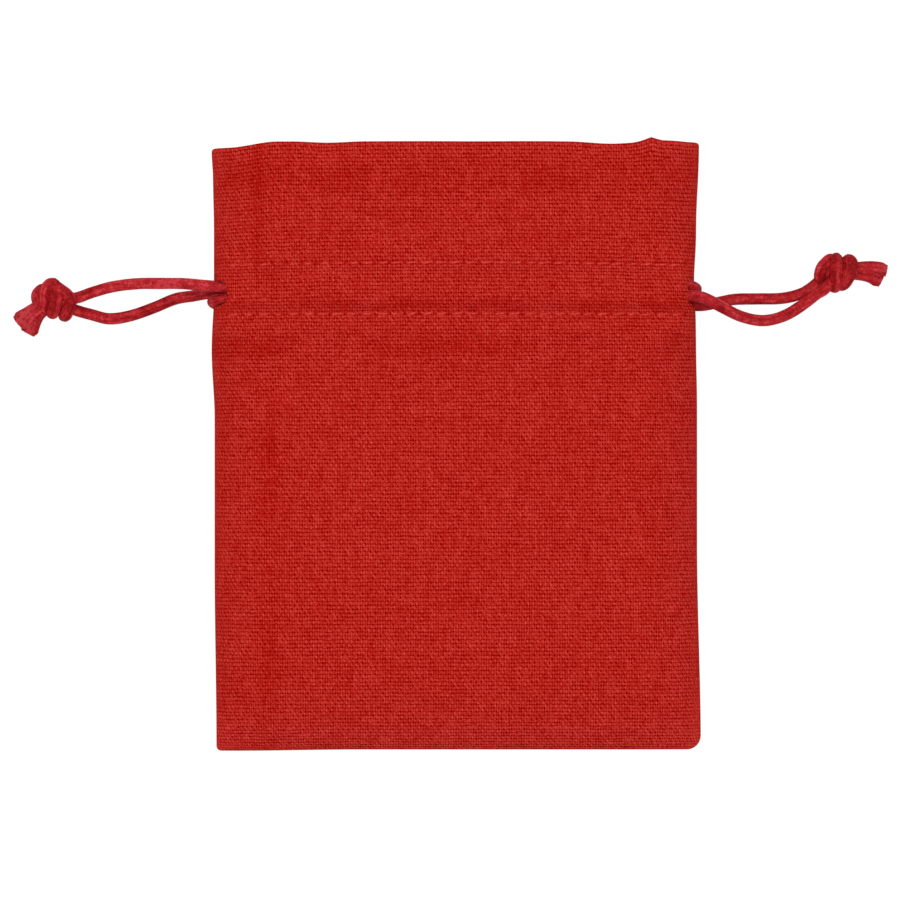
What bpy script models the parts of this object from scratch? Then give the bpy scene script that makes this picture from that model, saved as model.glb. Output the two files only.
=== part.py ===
"""A small drawstring gift pouch of plain-weave linen, lying on its back with its mouth towards +Y.

The cloth is one strip, folded at the bottom, sewn at both sides and turned down inside at the mouth. Two rows of
stitches hold the turned part to the wall and leave a casing between them. Each of the two drawcords runs once
round the casing, and its ends are tied together in a knot beyond one side.
"""

import math

import bmesh
import bpy
from mathutils import Matrix, Vector
from mathutils.geometry import interpolate_bezier

# Cloth sizes, in metres
POUCH_WIDTH = 0.0800
POUCH_HEIGHT = 0.1006
CLOTH_THICKNESS = 0.0004
MOUTH_TO_UPPER_ROW = 0.0202
ROW_SPACING = 0.0084
HEM_BELOW_LOWER_ROW = 0.0033
SEAM_ALLOWANCE = 0.0092
SEAM_RIDGE = 0.0003
PLY_GAP = 0.00025
ROW_GAP = 0.00015

# How far the front of the cloth stands off the surface, along its middle
MOUTH_RISE = 0.0090
ROW_RISE = 0.0100
CASING_RISE = 0.0112
BODY_RISE = 0.0092
FOOT_RISE = 0.0084
FRONT_CROWN = 0.0006

# Height of the side seam off the surface, and the rounding of the cloth beside it and at the bottom
SEAM_RISE = 0.0021
SLIT_RISE = 0.0053
FRONT_ROUNDING = 0.0120
BACK_ROUNDING = 0.0026
CASING_ROUNDING = 0.0038
BOTTOM_ROUNDING = 0.0150
FOLD_BLUNTNESS = 1.005
CORNER_RADIUS = 0.0012

# Cords, and the slits in the side seams that they leave by
CORD_DIAMETER = 0.0019
CASING_CLEARANCE = 0.0003
SLIT_SETBACK = 0.0030
SLIT_TO_ROW = 0.0003
SLIT_FLOOR = 0.0005

# Places that follow from the sizes
HALF_WIDTH = POUCH_WIDTH / 2
MOUTH = POUCH_HEIGHT / 2
BOTTOM = -POUCH_HEIGHT / 2
UPPER_ROW = MOUTH - MOUTH_TO_UPPER_ROW
LOWER_ROW = UPPER_ROW - ROW_SPACING
CASING_MIDDLE = (UPPER_ROW + LOWER_ROW) / 2
HEM_EDGE = LOWER_ROW - HEM_BELOW_LOWER_ROW
CASING_GAP = CORD_DIAMETER + 2 * CASING_CLEARANCE

# How finely the cloth is divided
ARC_STEPS = 4
FLAT_STEPS = 12
BOTTOM_ANGLES = (0, 13, 28, 46, 66, 90)
WALL_STEPS = 9
CASING_STEPS = 8
HEADER_STEPS = 4
HEM_STEPS = 2

# Routes of the drawcords. Each runs from its knot to the near slit, along the front of the casing, round the far
# side seam and back along the back of the casing to the knot.
LEFT_ROUTE = (
    (-0.0626, 0.0245, 0.0022),
    (-0.0605, 0.0251, 0.0014),
    (-0.0570, 0.0261, 0.0010),
    (-0.0530, 0.0268, 0.0013),
    (-0.0490, 0.0268, 0.0032),
    (-0.0450, 0.0267, 0.0060),
    (-0.0410, 0.0265, 0.0079),
    (-0.0372, 0.0265, 0.0087),
    (-0.0330, 0.0266, 0.0091),
    (-0.0150, 0.0268, 0.0094),
    (0.0100, 0.0270, 0.0095),
    (0.0250, 0.0270, 0.0093),
    (0.0330, 0.0270, 0.0091),
    (0.0369, 0.0270, 0.0089),
    (0.0394, 0.0270, 0.0077),
    (0.0403, 0.0269, 0.0052),
    (0.0394, 0.0268, 0.0027),
    (0.0369, 0.0268, 0.0017),
    (0.0330, 0.0267, 0.0016),
    (0.0150, 0.0265, 0.0016),
    (-0.0150, 0.0261, 0.0016),
    (-0.0330, 0.0257, 0.0016),
    (-0.0372, 0.0256, 0.0017),
    (-0.0405, 0.0253, 0.0015),
    (-0.0435, 0.0248, 0.0011),
    (-0.0465, 0.0243, 0.0010),
    (-0.0502, 0.0228, 0.0010),
    (-0.0540, 0.0213, 0.0010),
    (-0.0575, 0.0210, 0.0010),
    (-0.0605, 0.0217, 0.0012),
    (-0.0627, 0.0223, 0.0016),
)
RIGHT_ROUTE = (
    (0.0609, 0.0258, 0.0031),
    (0.0597, 0.0251, 0.0031),
    (0.0575, 0.0234, 0.0022),
    (0.0550, 0.0218, 0.0012),
    (0.0525, 0.0209, 0.0011),
    (0.0500, 0.0207, 0.0025),
    (0.0468, 0.0214, 0.0049),
    (0.0436, 0.0229, 0.0070),
    (0.0405, 0.0243, 0.0082),
    (0.0372, 0.0247, 0.0087),
    (0.0330, 0.0248, 0.0091),
    (0.0150, 0.0246, 0.0094),
    (-0.0100, 0.0240, 0.0095),
    (-0.0250, 0.0235, 0.0093),
    (-0.0330, 0.0235, 0.0092),
    (-0.0369, 0.0235, 0.0090),
    (-0.0394, 0.0234, 0.0077),
    (-0.0403, 0.0234, 0.0052),
    (-0.0394, 0.0234, 0.0027),
    (-0.0369, 0.0234, 0.0017),
    (-0.0330, 0.0234, 0.0015),
    (-0.0150, 0.0234, 0.0015),
    (0.0150, 0.0234, 0.0015),
    (0.0330, 0.0234, 0.0015),
    (0.0372, 0.0233, 0.0017),
    (0.0405, 0.0232, 0.0015),
    (0.0430, 0.0236, 0.0011),
    (0.0460, 0.0242, 0.0010),
    (0.0500, 0.0243, 0.0010),
    (0.0540, 0.0244, 0.0010),
    (0.0570, 0.0251, 0.0010),
    (0.0588, 0.0261, 0.0011),
)
ROUTE_READINGS = 6
CORD_POINT_SPACING = 2.2 * CORD_DIAMETER

# Knots. A bulge is its middle from the knot's own middle and its half sizes, and a tail is its two ends, all in
# cord diameters.
LEFT_KNOT = (-0.0660, 0.0238, 0.0022)
LEFT_BULGES = (
    ((0.84, 0.0, 0.05), (0.79, 1.85, 1.15)),
    ((-0.35, 0.0, 0.10), (0.72, 1.70, 1.20)),
    ((-1.50, 0.55, -0.10), (0.85, 0.90, 0.95)),
    ((-0.75, 1.30, -0.05), (0.85, 0.80, 0.90)),
)
LEFT_TAILS = (
    ((-1.40, -0.35, -0.20), (-3.35, -1.85, -0.55)),
    ((-0.55, -0.95, -0.25), (-2.40, -2.65, -0.55)),
)
RIGHT_KNOT = (0.0631, 0.0287, 0.0022)
RIGHT_BULGES = (
    ((-1.28, 0.30, 0.05), (0.76, 1.38, 1.10)),
    ((-0.20, -0.10, 0.10), (0.74, 1.80, 1.20)),
    ((1.25, 0.25, 0.0), (0.80, 1.40, 1.10)),
    ((0.50, 0.30, -0.10), (0.90, 1.20, 1.00)),
)
RIGHT_TAILS = (
    ((1.50, 0.40, -0.15), (4.20, 0.35, -0.55)),
    ((1.40, -0.35, -0.20), (3.45, -0.80, -0.55)),
)
TAIL_RADIUS = 0.52
KNOT_VOXEL = 0.00040
KNOT_KEEP = 0.35


def share(low, high, value):
    """How far value has gone from low to high, eased at both ends."""
    part = min(max((value - low) / (high - low), 0.0), 1.0)
    return part * part * (3 - 2 * part)


def arch(distance, reach, power=2.0):
    """A rounded arch: 1 at distance 0, falling to 0 at reach."""
    part = min(max(distance / reach, -1.0), 1.0)
    return math.sqrt(max(0.0, 1 - abs(part) ** power))


def casing_bulge(y, reach=ROW_SPACING / 2):
    """1 along the middle of the casing, 0 at reach from it and beyond."""
    return arch(y - CASING_MIDDLE, reach, 5.0)


def front_rise(y):
    """Height of the outer skin along the middle of the front."""
    body = FOOT_RISE + (BODY_RISE - FOOT_RISE) * share(BOTTOM, 0.3 * BOTTOM, y)
    to_casing = body + (ROW_RISE - body) * share(HEM_EDGE - 0.012, LOWER_ROW, y)
    to_mouth = to_casing + (MOUTH_RISE - to_casing) * share(UPPER_ROW, UPPER_ROW + 0.011, y)
    return to_mouth + (CASING_RISE - ROW_RISE) * casing_bulge(y)


def opened(y):
    """1 at the casing, where the slits hold the side seam apart, falling to 0 away from it."""
    below = share(CASING_MIDDLE - 0.014, CASING_MIDDLE - ROW_SPACING / 2, y)
    return below * (1 - share(CASING_MIDDLE + ROW_SPACING / 2, CASING_MIDDLE + 0.014, y))


def relief(x, y):
    """Ridges over the seam allowances, and slack folds in the front of the body."""
    inside_seam = HALF_WIDTH - abs(x)
    ridge = SEAM_RIDGE * (1 - share(SEAM_ALLOWANCE - 0.0015, SEAM_ALLOWANCE + 0.0025, inside_seam))
    ridge *= 1 - share(HEM_EDGE, LOWER_ROW, y)
    slack = share(BOTTOM, BOTTOM + 0.030, y) * (1 - share(HEM_EDGE - 0.006, LOWER_ROW, y))
    folds = 0.00022 * math.sin(x / 0.0105 + 0.9 * math.sin(y / 0.021))
    folds += 0.00016 * math.sin(x / 0.0062 + y / 0.017 + 1.3)
    puckers = 0.00016 * math.sin(x / 0.0041 + 0.6 * math.sin(x / 0.013))
    near_row = share(HEM_EDGE - 0.012, HEM_EDGE - 0.001, y) * (1 - share(HEM_EDGE + 0.001, LOWER_ROW, y))
    return ridge + slack * folds + near_row * puckers


def closing(y, rounding, depth):
    """1 up the wall, falling nearly to 0 at the bottom fold, depth inside the outer skin."""
    return arch(max(BOTTOM + rounding - y, 0.0), FOLD_BLUNTNESS * (rounding - depth))


def section(y, depth):
    """One closed loop of points round the pouch at height y, depth inside its outer skin."""
    half = HALF_WIDTH - CORNER_RADIUS * (1 - closing(y, CORNER_RADIUS, 0.0))
    seam = SEAM_RISE + (SLIT_RISE - SEAM_RISE) * opened(y)
    front_round = FRONT_ROUNDING + (CASING_ROUNDING - FRONT_ROUNDING) * opened(y)
    back_round = BACK_ROUNDING + (CASING_ROUNDING - BACK_ROUNDING) * opened(y)
    front_closing = closing(y, BOTTOM_ROUNDING, depth)
    back_closing = closing(y, BACK_ROUNDING, depth)
    crest = front_rise(y) - depth - seam
    angles = [math.pi / 2 * step / ARC_STEPS for step in range(1, ARC_STEPS)]
    steps = [2 * step / FLAT_STEPS - 1 for step in range(FLAT_STEPS + 1)]

    def front(x, fall):
        rise = crest - FRONT_CROWN * (x / half) ** 2 + relief(x, y)
        return Vector((x, y, seam + rise * fall * front_closing))

    def back(x, fall):
        return Vector((x, y, seam - (seam - depth) * fall * back_closing))

    def rounded(side, rounding):
        """Places and falls round one side, from the flat of the wall to the seam."""
        flat = half - rounding
        return [(side * (flat + (rounding - depth) * math.sin(a)), math.cos(a)) for a in angles]

    loop = [front(x, fall) for x, fall in reversed(rounded(-1, front_round))]
    loop += [front((half - front_round) * step, 1) for step in steps]
    loop += [front(x, fall) for x, fall in rounded(1, front_round)]
    loop.append(Vector((half - depth, y, seam)))
    loop += [back(x, fall) for x, fall in reversed(rounded(1, back_round))]
    loop += [back(-(half - back_round) * step, 1) for step in steps]
    loop += [back(x, fall) for x, fall in rounded(-1, back_round)]
    loop.append(Vector((depth - half, y, seam)))
    return loop


def spread(start, stop, steps):
    """Places from start to stop, with start and without stop."""
    return [start + (stop - start) * step / steps for step in range(steps)]


def casing_places():
    """Places across the casing, both rows included, closest beside the rows."""
    turns = [math.pi * step / CASING_STEPS for step in range(CASING_STEPS + 1)]
    return [CASING_MIDDLE - ROW_SPACING / 2 * math.cos(turn) for turn in turns]


def facing_places(top):
    """Places from the hem's edge up to top."""
    places = spread(HEM_EDGE, LOWER_ROW, HEM_STEPS) + casing_places()
    return places + spread(UPPER_ROW, top, HEADER_STEPS)[1:] + [top]


def wall_places(top, depth):
    """Places from the bottom fold up to top."""
    reach = BOTTOM_ROUNDING - depth
    bottom = [BOTTOM + depth + reach * (1 - math.cos(math.radians(turn))) for turn in BOTTOM_ANGLES]
    return bottom + spread(BOTTOM + BOTTOM_ROUNDING, HEM_EDGE, WALL_STEPS)[1:] + facing_places(top)


def ply_gap(y, reach=ROW_SPACING / 2):
    """Gap between the wall and the turned-in facing: wide at the casing, least at its stitch rows."""
    away = share(ROW_SPACING / 2, ROW_SPACING / 2 + 0.002, abs(y - CASING_MIDDLE))
    return ROW_GAP + (CASING_GAP - ROW_GAP) * casing_bulge(y, reach) + (PLY_GAP - ROW_GAP) * away


def cloth_profile():
    """(place, depth) pairs along the cut cloth: up the outer skin, over the fold at the mouth, down the facing to
    its hem, up the facing's hidden side and down the inside of the wall."""
    fold = CLOTH_THICKNESS + PLY_GAP / 2
    turn = MOUTH - fold
    profile = [(y, 0.0) for y in wall_places(turn, 0.0)]
    for angle in (45, 90, 135):
        swing = math.radians(angle)
        profile.append((turn + fold * math.sin(swing), fold * (1 - math.cos(swing))))
    beyond_row = (ROW_SPACING + CLOTH_THICKNESS) / 2
    free_side = [(y, 2 * CLOTH_THICKNESS + ply_gap(y, beyond_row)) for y in facing_places(turn)]
    profile += reversed(free_side)
    profile += [(y, CLOTH_THICKNESS + ply_gap(y)) for y in facing_places(turn)]
    profile.append((turn + PLY_GAP / 2, fold))
    inside = [(y, CLOTH_THICKNESS) for y in wall_places(turn, CLOTH_THICKNESS)]
    profile += reversed(inside)
    return profile


def new_object(name, data, collection, finish=None):
    obj = bpy.data.objects.new(name, data)
    collection.objects.link(obj)
    if finish:
        data.materials.append(finish)
    return obj


def mesh_of(bm, name):
    """The bmesh as a new mesh, with its faces pointing outwards."""
    bmesh.ops.recalc_face_normals(bm, faces=bm.faces)
    mesh = bpy.data.meshes.new(name)
    bm.to_mesh(mesh)
    bm.free()
    return mesh


def new_material(name, colour, roughness):
    finish = bpy.data.materials.new(name)
    finish.use_nodes = True
    shader = finish.node_tree.nodes["Principled BSDF"]
    shader.inputs["Base Color"].default_value = (*colour, 1)
    shader.inputs["Roughness"].default_value = roughness
    shader.inputs["Metallic"].default_value = 0.0
    finish.diffuse_color = (*colour, 1)
    return finish


def slit_cutter(side, collection):
    """A block that opens one side seam between the stitch rows, down to the edge of the back layer."""
    length = ROW_SPACING - 2 * SLIT_TO_ROW
    height = 2 * CASING_RISE
    bm = bmesh.new()
    bmesh.ops.create_cube(bm, size=1.0)
    bmesh.ops.scale(bm, vec=(HALF_WIDTH, length, height), verts=bm.verts)
    middle = HALF_WIDTH - SLIT_SETBACK + HALF_WIDTH / 2
    place = Vector((side * middle, CASING_MIDDLE, SLIT_FLOOR + height / 2))
    bmesh.ops.translate(bm, vec=place, verts=bm.verts)
    cutter = new_object("slit_cutter", mesh_of(bm, "slit_cutter"), collection)
    cutter.hide_render = True
    cutter.display_type = "WIRE"
    return cutter


def build_cloth(collection, cutters, finish):
    bm = bmesh.new()
    loops = [[bm.verts.new(point) for point in section(y, depth)] for y, depth in cloth_profile()]
    for low, high in zip(loops, loops[1:]):
        for i in range(len(low)):
            bm.faces.new((low[i - 1], low[i], high[i], high[i - 1]))
    bm.faces.new(loops[0])
    bm.faces.new(loops[-1])
    bmesh.ops.triangulate(bm, faces=bm.faces)
    cloth = new_object("pouch_cloth", mesh_of(bm, "pouch_cloth"), collection, finish)
    cloth.data.shade_smooth()
    cloth.data.set_sharp_from_angle(angle=math.radians(50))
    for side in (-1, 1):
        cut = cloth.modifiers.new("slit", "BOOLEAN")
        cut.operation = "DIFFERENCE"
        cut.object = slit_cutter(side, cutters)
    return cloth


def smooth_route(route):
    """Points read evenly along one smooth curve through the route's points."""
    places = [Vector(point) for point in route]
    dense = []
    for i, (start, stop) in enumerate(zip(places, places[1:])):
        before = places[max(i - 1, 0)]
        after = places[min(i + 2, len(places) - 1)]
        reach = (stop - start).length / 3
        leaving = start + (stop - before).normalized() * reach
        arriving = stop - (after - start).normalized() * reach
        dense += interpolate_bezier(start, leaving, arriving, stop, ROUTE_READINGS + 1)[:-1]
    dense.append(places[-1])
    length = sum((b - a).length for a, b in zip(dense, dense[1:]))
    count = round(length / CORD_POINT_SPACING)
    points = [dense[0]]
    walked = 0.0
    for a, b in zip(dense, dense[1:]):
        stretch = (b - a).length
        while len(points) < count and walked + stretch >= length * len(points) / count:
            points.append(a.lerp(b, (length * len(points) / count - walked) / stretch))
        walked += stretch
    return points + [dense[-1]]


def build_cord(name, route, collection, finish):
    curve = bpy.data.curves.new(name, "CURVE")
    curve.dimensions = "3D"
    curve.bevel_depth = CORD_DIAMETER / 2
    curve.bevel_resolution = 2
    curve.use_fill_caps = True
    points = smooth_route(route)
    spline = curve.splines.new("POLY")
    spline.points.add(len(points) - 1)
    for place, point in zip(spline.points, points):
        place.co = (*point, 1)
    return new_object(name, curve, collection, finish)


def build_knot(name, middle, bulges, tails, collection, finish):
    """One drawn-up knot: its turns as overlapping bulges and its two cut tails, made one skin."""
    middle = Vector(middle)
    bm = bmesh.new()
    for place, half_sizes in bulges:
        ball = bmesh.ops.create_icosphere(bm, subdivisions=3, radius=1.0)["verts"]
        bmesh.ops.scale(bm, vec=Vector(half_sizes) * CORD_DIAMETER, verts=ball)
        bmesh.ops.translate(bm, vec=middle + Vector(place) * CORD_DIAMETER, verts=ball)
    for start, stop in tails:
        start = middle + Vector(start) * CORD_DIAMETER
        stop = middle + Vector(stop) * CORD_DIAMETER
        turned = (stop - start).to_track_quat("Z", "Y").to_matrix().to_4x4()
        bmesh.ops.create_cone(
            bm,
            cap_ends=True,
            segments=16,
            radius1=TAIL_RADIUS * CORD_DIAMETER,
            radius2=TAIL_RADIUS * CORD_DIAMETER,
            depth=(stop - start).length,
            matrix=Matrix.Translation((start + stop) / 2) @ turned,
        )
    obj = new_object(name, mesh_of(bm, name), collection, finish)
    skin = obj.modifiers.new("one skin", "REMESH")
    skin.mode = "VOXEL"
    skin.voxel_size = KNOT_VOXEL
    fewer = obj.modifiers.new("fewer faces", "DECIMATE")
    fewer.ratio = KNOT_KEEP
    return obj


for old in list(bpy.data.objects):
    bpy.data.objects.remove(old, do_unlink=True)

pouch = bpy.data.collections.new("gift_pouch")
cutters = bpy.data.collections.new("cutters")
bpy.context.scene.collection.children.link(pouch)
bpy.context.scene.collection.children.link(cutters)

linen = new_material("red_linen", (0.445, 0.017, 0.012), 0.9)
waxed_cord = new_material("crimson_waxed_cord", (0.402, 0.019, 0.021), 0.55)

build_cloth(pouch, cutters, linen)
build_cord("left_drawcord", LEFT_ROUTE, pouch, waxed_cord)
build_cord("right_drawcord", RIGHT_ROUTE, pouch, waxed_cord)
build_knot("left_knot", LEFT_KNOT, LEFT_BULGES, LEFT_TAILS, pouch, waxed_cord)
build_knot("right_knot", RIGHT_KNOT, RIGHT_BULGES, RIGHT_TAILS, pouch, waxed_cord)
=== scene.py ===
import math
import random

import bmesh
import bpy
from mathutils import Matrix, Vector, noise
from mathutils.geometry import interpolate_bezier


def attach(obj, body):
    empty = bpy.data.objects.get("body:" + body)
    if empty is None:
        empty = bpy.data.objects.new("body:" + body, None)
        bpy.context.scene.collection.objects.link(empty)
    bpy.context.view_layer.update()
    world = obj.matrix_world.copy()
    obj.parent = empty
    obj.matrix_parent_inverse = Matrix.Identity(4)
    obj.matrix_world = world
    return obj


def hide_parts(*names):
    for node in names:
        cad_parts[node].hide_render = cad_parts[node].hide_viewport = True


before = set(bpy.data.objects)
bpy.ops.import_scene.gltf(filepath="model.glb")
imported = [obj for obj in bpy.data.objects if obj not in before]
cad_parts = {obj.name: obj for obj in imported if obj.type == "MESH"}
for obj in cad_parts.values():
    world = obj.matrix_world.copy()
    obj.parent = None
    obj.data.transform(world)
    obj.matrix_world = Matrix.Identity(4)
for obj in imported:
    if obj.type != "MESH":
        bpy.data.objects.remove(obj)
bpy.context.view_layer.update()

# View from straight above
# The pouch lies on its back and is seen from straight above its middle, through a long lens. The width of the
# view is measured at the height of the side seams, which draw the outline.
MM = 0.001
VIEW_MIDDLE = Vector((-1.03 * MM, -0.745 * MM))
VIEW_WIDTH = 149.0 * MM
OUTLINE_HEIGHT = 2.2 * MM

scene = bpy.context.scene
scene.view_settings.view_transform = "Standard"
lens_data = bpy.data.cameras.new("view_from_above")
lens_data.lens = 260
lens_data.sensor_width = 36
lens_distance = VIEW_WIDTH * lens_data.lens / lens_data.sensor_width
camera = bpy.data.objects.new("view_from_above", lens_data)
camera.location = (*VIEW_MIDDLE, OUTLINE_HEIGHT + lens_distance)
scene.collection.objects.link(camera)
scene.camera = camera

# Drawcords
# Two lengths of crimson waxed cotton cord, round and smooth, with a soft mottled surface. Each leaves a side
# slit as two strands, runs once round the casing and turns back round the side seam at the far slit.
CORD_DIAMETER = 1.9 * MM
CORD_SIDES = 20
CORD_RING_SPACING = 0.45 * MM
CURVE_STEPS = 24
LEFT_ROUTE = (
    (-0.0652, 0.0241, 0.0020),
    (-0.0640, 0.0243, 0.0021),
    (-0.0626, 0.0245, 0.0022),
    (-0.0605, 0.0253, 0.0014),
    (-0.0570, 0.0263, 0.0010),
    (-0.0530, 0.0268, 0.0013),
    (-0.0490, 0.0268, 0.0032),
    (-0.0450, 0.0267, 0.0060),
    (-0.0410, 0.0263, 0.0079),
    (-0.0372, 0.0261, 0.0087),
    (-0.0330, 0.0266, 0.0091),
    (-0.0150, 0.0268, 0.0094),
    (0.0100, 0.0270, 0.0095),
    (0.0250, 0.0270, 0.0093),
    (0.0330, 0.0268, 0.0090),
    (0.0367, 0.0267, 0.0088),
    (0.0388, 0.0262, 0.0077),
    (0.0396, 0.0258, 0.0053),
    (0.0389, 0.0258, 0.0029),
    (0.0367, 0.0263, 0.0018),
    (0.0330, 0.0267, 0.0016),
    (0.0150, 0.0265, 0.0016),
    (-0.0150, 0.0261, 0.0016),
    (-0.0330, 0.0257, 0.0016),
    (-0.0372, 0.0256, 0.0017),
    (-0.0405, 0.0253, 0.0015),
    (-0.0435, 0.0248, 0.0011),
    (-0.0465, 0.0243, 0.0010),
    (-0.0502, 0.0228, 0.0010),
    (-0.0540, 0.0215, 0.0010),
    (-0.0575, 0.0210, 0.0010),
    (-0.0605, 0.0217, 0.0012),
    (-0.0627, 0.0223, 0.0016),
    (-0.0640, 0.0228, 0.0017),
    (-0.0652, 0.0232, 0.0018),
)
RIGHT_ROUTE = (
    (0.0627, 0.0278, 0.0024),
    (0.0619, 0.0270, 0.0030),
    (0.0609, 0.0258, 0.0031),
    (0.0597, 0.0251, 0.0031),
    (0.0575, 0.0234, 0.0022),
    (0.0550, 0.0218, 0.0012),
    (0.0525, 0.0209, 0.0011),
    (0.0500, 0.0207, 0.0025),
    (0.0468, 0.0214, 0.0049),
    (0.0436, 0.0229, 0.0070),
    (0.0405, 0.0244, 0.0080),
    (0.0372, 0.0248, 0.0086),
    (0.0330, 0.0246, 0.0090),
    (0.0150, 0.0246, 0.0094),
    (-0.0100, 0.0240, 0.0095),
    (-0.0250, 0.0237, 0.0092),
    (-0.0330, 0.0240, 0.0090),
    (-0.0369, 0.0241, 0.0087),
    (-0.0393, 0.0240, 0.0076),
    (-0.0402, 0.0237, 0.0052),
    (-0.0393, 0.0233, 0.0028),
    (-0.0369, 0.0233, 0.0018),
    (-0.0330, 0.0234, 0.0015),
    (-0.0150, 0.0234, 0.0015),
    (0.0150, 0.0234, 0.0015),
    (0.0330, 0.0234, 0.0015),
    (0.0372, 0.0233, 0.0017),
    (0.0405, 0.0232, 0.0015),
    (0.0430, 0.0236, 0.0011),
    (0.0460, 0.0242, 0.0010),
    (0.0500, 0.0243, 0.0010),
    (0.0540, 0.0244, 0.0010),
    (0.0570, 0.0251, 0.0010),
    (0.0588, 0.0261, 0.0011),
    (0.0602, 0.0273, 0.0013),
    (0.0615, 0.0283, 0.0016),
)


class Reading:
    """A socket of a finish. Arithmetic on it adds the Math nodes to the finish."""

    def __init__(self, finish, socket):
        self.finish = finish
        self.socket = socket

    def maths(self, operation, *terms):
        sockets = dict(enumerate(terms))
        return self.finish.add("ShaderNodeMath", {"operation": operation}, sockets)

    def __add__(self, other):
        return self.maths("ADD", self, other)

    def __radd__(self, other):
        return self.maths("ADD", other, self)

    def __sub__(self, other):
        return self.maths("SUBTRACT", self, other)

    def __rsub__(self, other):
        return self.maths("SUBTRACT", other, self)

    def __mul__(self, other):
        return self.maths("MULTIPLY", self, other)

    def __rmul__(self, other):
        return self.maths("MULTIPLY", other, self)

    def __truediv__(self, other):
        return self.maths("DIVIDE", self, other)

    def __abs__(self):
        return self.maths("ABSOLUTE", self)

    def root(self):
        return self.maths("SQRT", self)

    def cosine(self):
        return self.maths("COSINE", self)

    def whole(self):
        return self.maths("FLOOR", self)

    def between(self, low, high):
        """0 at low and below, 1 at high and above, eased."""
        ramp = {"interpolation_type": "SMOOTHSTEP"}
        return self.finish.add("ShaderNodeMapRange", ramp, {"Value": self, "From Min": low, "From Max": high})

    def near(self, middle, reach):
        """1 at middle, falling to 0 at reach from it, eased."""
        return 1 - abs(self - middle).between(0.0, reach)

    def odd(self):
        """1 where a whole number is odd and 0 where it is even. The even 4096 keeps it above 0."""
        return self.maths("MODULO", self + 4096, 2)


class Finish:
    """A material under construction."""

    def __init__(self, name):
        self.material = bpy.data.materials.new(name)
        self.material.use_nodes = True
        self.tree = self.material.node_tree
        self.shader = self.tree.nodes["Principled BSDF"]

    def add(self, kind, settings, sockets, out=0):
        """Adds a node: its settings first, then the values or links of its sockets. Reads its output out."""
        node = self.tree.nodes.new(kind)
        for name, value in settings.items():
            setattr(node, name, value)
        for name, value in sockets.items():
            self.feed(node.inputs[name], value)
        return Reading(self, node.outputs[out])

    def feed(self, socket, value):
        """Links a reading to a socket, or else sets the socket's value."""
        if isinstance(value, Reading):
            self.tree.links.new(value.socket, socket)
        else:
            socket.default_value = value

    def object_place(self):
        return self.add("ShaderNodeTexCoord", {}, {}, "Object")

    def axes(self, place):
        """X and Y of a place."""
        x = self.add("ShaderNodeSeparateXYZ", {}, {"Vector": place}, "X")
        return x, Reading(self, x.socket.node.outputs["Y"])

    def noise(self, place, scale, detail=2.0, roughness=0.5):
        """Noise from 0 to 1 at place, scale being the number of lumps in a metre."""
        sockets = {"Vector": place, "Scale": scale, "Detail": detail, "Roughness": roughness}
        return self.add("ShaderNodeTexNoise", {}, sockets)

    def point(self, x, y, z=0.0):
        return self.add("ShaderNodeCombineXYZ", {}, {"X": x, "Y": y, "Z": z})

    def blend(self, share, first, second):
        """Colour between first and second. Sockets 6 and 7 and output 2 are the ones for colours."""
        sockets = {0: share, 6: self.colour(first), 7: self.colour(second)}
        return self.add("ShaderNodeMix", {"data_type": "RGBA"}, sockets, 2)

    def colour(self, value):
        return value if isinstance(value, Reading) else (*value, 1.0)

    def bump(self, height, distance, strength=1.0):
        sockets = {"Height": height, "Distance": distance, "Strength": strength}
        return self.add("ShaderNodeBump", {}, sockets)


CORD_LIT = (0.640, 0.044, 0.056)
CORD_MIDDLE_TONE = (0.425, 0.0125, 0.0168)
CORD_DEEP = (0.245, 0.0018, 0.0042)
CORD_FRAYED = (0.640, 0.070, 0.088)

cord_finish = Finish("crimson_waxed_cotton")
place = cord_finish.object_place()
turn, along = cord_finish.axes(cord_finish.add("ShaderNodeUVMap", {"uv_map": "lay"}, {}))
around = cord_finish.point(turn.cosine() * MM, (turn - math.pi / 2).cosine() * MM, along * 0.17)
fibres = cord_finish.noise(around, 1500, 2.0, 0.6)
mottle = cord_finish.noise(place, 900, 3.0, 0.62)
speck = cord_finish.noise(place, 2600, 1.0)
wax = cord_finish.noise(place, 300, 1.0)

# The upper left strand is painted paler, as painted light where it rises towards the light, the knots are a
# little darker, and the tails have frayed
x, y = cord_finish.axes(place)
reach = abs(x)
knotted = reach.between(58.0 * MM, 62.0 * MM)
left_of_slit = (0 - x).between(39.5 * MM, 42.0 * MM)
# Painted light: left of the slit the upper strand is lighter, because it rises towards the light
painted_light_upper_strand = left_of_slit * y.between(24.7 * MM, 25.5 * MM) * (1 - knotted)
tone = fibres * 0.42 + mottle * 0.33 + speck * 0.25
tone = tone + painted_light_upper_strand * 0.050 - knotted * 0.029
warm = cord_finish.blend(tone.between(0.39, 0.50), CORD_DEEP, CORD_MIDDLE_TONE)
lit = cord_finish.blend(tone.between(0.51, 0.61), warm, CORD_LIT)
frayed = reach.between(68.4 * MM, 72.5 * MM) * tone.between(0.34, 0.52) * 0.50
cord_colour = cord_finish.blend(frayed, lit, CORD_FRAYED)
cord_finish.feed(cord_finish.shader.inputs["Base Color"], cord_colour)
cord_finish.feed(cord_finish.shader.inputs["Roughness"], 0.54 + wax * 0.26)
cord_finish.feed(cord_finish.shader.inputs["Normal"], cord_finish.bump(tone, 0.26 * MM, 0.8))
cord_finish.shader.inputs["Specular IOR Level"].default_value = 0.10


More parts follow.
